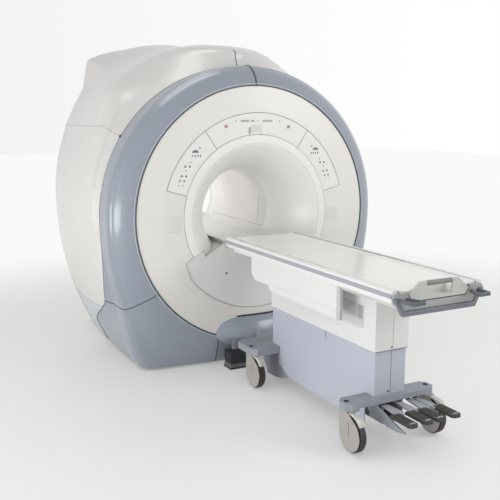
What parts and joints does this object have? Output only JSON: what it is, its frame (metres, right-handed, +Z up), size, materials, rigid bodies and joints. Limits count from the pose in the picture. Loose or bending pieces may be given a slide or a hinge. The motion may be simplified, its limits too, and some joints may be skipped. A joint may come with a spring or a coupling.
{
  "type": "mri scanner",
  "caption": "Closed-bore magnetic resonance scanner: ring-faced gantry with a trumpet-mouthed patient bore and a docked, wheeled table with lift and sliding cradle.",
  "frame": {"origin": "on the floor, below the middle of the patient bore", "axes": "+Z up; +Y along the bore, from the table's foot end towards the back of the gantry; +X to the right of someone at the table's foot who faces the bore"},
  "size_m": [2.264, 3.724, 2.372],
  "materials": {
    "white_housing": "satin moulded cover",
    "blue_housing": "satin moulded cover",
    "white_fascia": "satin moulded cover",
    "control_film": "printed film on moulded panel",
    "dark_window": "smoked window",
    "stop_red": "moulded button",
    "button_grey": "moulded button",
    "mouth_white": "satin moulded trumpet",
    "apron_grey": "fine texture",
    "bore_laminate": "painted glass-fibre laminate",
    "bridge_plastic": "moulded sliding surface",
    "vessel_steel": "painted steel vessel",
    "coil_resin": "cast resin",
    "frame_paint": "painted steel",
    "cold_head_steel": "machined",
    "dock_steel": "painted steel",
    "chassis_paint": "powder coat",
    "pedestal_white": "satin moulded cover",
    "rail_aluminium": "coated aluminium section",
    "cap_plastic": "fine texture",
    "grip_grey": "soft-touch moulding",
    "cradle_shell": "gel-coated laminate",
    "handle_plastic": "fine texture",
    "pedal_rubber": "ribbed pads",
    "caster_shell": "moulded hood",
    "caster_tyre": "smooth tread"
  },
  "bodies": {
    "gantry": {"bezel_left": "blue_housing", "bezel_right": "blue_housing", "foot_cover_left": "blue_housing", "foot_cover_right": "blue_housing", "toe_cover": "blue_housing", "top_cover_left": "white_housing", "top_cover_right": "white_housing", "side_cover_left": "white_housing", "side_cover_right": "white_housing", "plinth_left": "white_housing", "plinth_right": "white_housing", "rear_cover": "white_housing", "front_cover": "white_fascia", "control_panel_left": "control_film", "display_panel": "control_film", "control_panel_right": "control_film", "laser_windows": "dark_window", "front_funnel": "mouth_white", "rear_funnel": "mouth_white", "apron": "apron_grey", "magnet_vessel": "vessel_steel", "gradient_coil": "coil_resin", "bore_liner": "bore_laminate", "bore_bridge": "bridge_plastic", "base_frame": "frame_paint", "cold_head": "cold_head_steel", "dock_housing": "blue_housing", "dock_feet": "dock_steel"},
    "stop_button": {"stop_button": "stop_red"},
    "light_button": {"light_button": "button_grey"},
    "table_base": {"base_chassis": "chassis_paint", "lower_cover": "blue_housing", "lift_guides": "dock_steel"},
    "table_top": {"lift_rams": "dock_steel", "upper_cover": "pedestal_white", "table_frame": "pedestal_white", "side_rail_left": "rail_aluminium", "side_rail_right": "rail_aluminium", "side_panel_left": "pedestal_white", "side_panel_right": "pedestal_white", "end_cap": "cap_plastic", "push_grip_left": "grip_grey", "push_grip_right": "grip_grey"},
    "cradle": {"cradle": "cradle_shell", "cradle_handle": "handle_plastic", "cradle_grip": "grip_grey"},
    "pedal_1": {"pedal_1": "pedal_rubber"},
    "pedal_2": {"pedal_2": "pedal_rubber"},
    "pedal_3": {"pedal_3": "pedal_rubber"},
    "pedal_4": {"pedal_4": "pedal_rubber"},
    "caster_fork_front_left": {"caster_fork_front_left": "caster_shell"},
    "caster_wheel_front_left": {"caster_wheel_front_left": "caster_tyre"},
    "caster_fork_front_right": {"caster_fork_front_right": "caster_shell"},
    "caster_wheel_front_right": {"caster_wheel_front_right": "caster_tyre"},
    "caster_fork_rear_left": {"caster_fork_rear_left": "caster_shell"},
    "caster_wheel_rear_left": {"caster_wheel_rear_left": "caster_tyre"},
    "caster_fork_rear_right": {"caster_fork_rear_right": "caster_shell"},
    "caster_wheel_rear_right": {"caster_wheel_rear_right": "caster_tyre"}
  },
  "joints": [
    {"name": "stop_button_press", "type": "slide", "parent": "gantry", "child": "stop_button", "axis": [0, 1, 0], "range_m": [0, 0.004], "stiffness_N_per_m": 500, "springref_m": -0.004},
    {"name": "light_button_press", "type": "slide", "parent": "gantry", "child": "light_button", "axis": [0, 1, 0], "range_m": [0, 0.004], "stiffness_N_per_m": 500, "springref_m": -0.004},
    {"name": "table_dock", "type": "slide", "parent": "gantry", "child": "table_base", "axis": [0, 1, 0], "range_m": [-1, 0]},
    {"name": "table_lift", "type": "slide", "parent": "table_base", "child": "table_top", "axis": [0, 0, 1], "range_m": [-0.24, 0]},
    {"name": "cradle_travel", "type": "slide", "parent": "table_top", "child": "cradle", "axis": [0, 1, 0], "range_m": [0, 1.65]},
    {"name": "pedal_1_press", "type": "hinge", "parent": "table_base", "child": "pedal_1", "pos_m": [-0.048, -2.395, 0.219], "axis": [1, 0, 0], "range_deg": [0, 6], "stiffness_Nm_per_rad": 20, "springref_deg": -17.19},
    {"name": "pedal_2_press", "type": "hinge", "parent": "table_base", "child": "pedal_2", "pos_m": [0.046, -2.395, 0.219], "axis": [1, 0, 0], "range_deg": [0, 6], "stiffness_Nm_per_rad": 20, "springref_deg": -17.19},
    {"name": "pedal_3_press", "type": "hinge", "parent": "table_base", "child": "pedal_3", "pos_m": [0.128, -2.395, 0.219], "axis": [1, 0, 0], "range_deg": [0, 6], "stiffness_Nm_per_rad": 20, "springref_deg": -17.19},
    {"name": "pedal_4_press", "type": "hinge", "parent": "table_base", "child": "pedal_4", "pos_m": [0.175, -2.395, 0.219], "axis": [1, 0, 0], "range_deg": [0, 6], "stiffness_Nm_per_rad": 20, "springref_deg": -17.19},
    {"name": "caster_swivel_front_left", "type": "hinge", "parent": "table_base", "child": "caster_fork_front_left", "pos_m": [-0.272, -2.378, 0.1075], "axis": [0, 0, 1], "continuous": true},
    {"name": "wheel_spin_front_left", "type": "hinge", "parent": "caster_fork_front_left", "child": "caster_wheel_front_left", "pos_m": [-0.272, -2.443, 0.0975], "axis": [1, 0, 0], "continuous": true},
    {"name": "caster_swivel_front_right", "type": "hinge", "parent": "table_base", "child": "caster_fork_front_right", "pos_m": [0.272, -2.378, 0.1075], "axis": [0, 0, 1], "continuous": true},
    {"name": "wheel_spin_front_right", "type": "hinge", "parent": "caster_fork_front_right", "child": "caster_wheel_front_right", "pos_m": [0.272, -2.443, 0.0975], "axis": [1, 0, 0], "continuous": true},
    {"name": "caster_swivel_rear_left", "type": "hinge", "parent": "table_base", "child": "caster_fork_rear_left", "pos_m": [-0.272, -1.29, 0.1075], "axis": [0, 0, 1], "continuous": true},
    {"name": "wheel_spin_rear_left", "type": "hinge", "parent": "caster_fork_rear_left", "child": "caster_wheel_rear_left", "pos_m": [-0.272, -1.355, 0.0975], "axis": [1, 0, 0], "continuous": true},
    {"name": "caster_swivel_rear_right", "type": "hinge", "parent": "table_base", "child": "caster_fork_rear_right", "pos_m": [0.272, -1.29, 0.1075], "axis": [0, 0, 1], "continuous": true},
    {"name": "wheel_spin_rear_right", "type": "hinge", "parent": "caster_fork_rear_right", "child": "caster_wheel_rear_right", "pos_m": [0.272, -1.355, 0.0975], "axis": [1, 0, 0], "continuous": true}
  ]
}
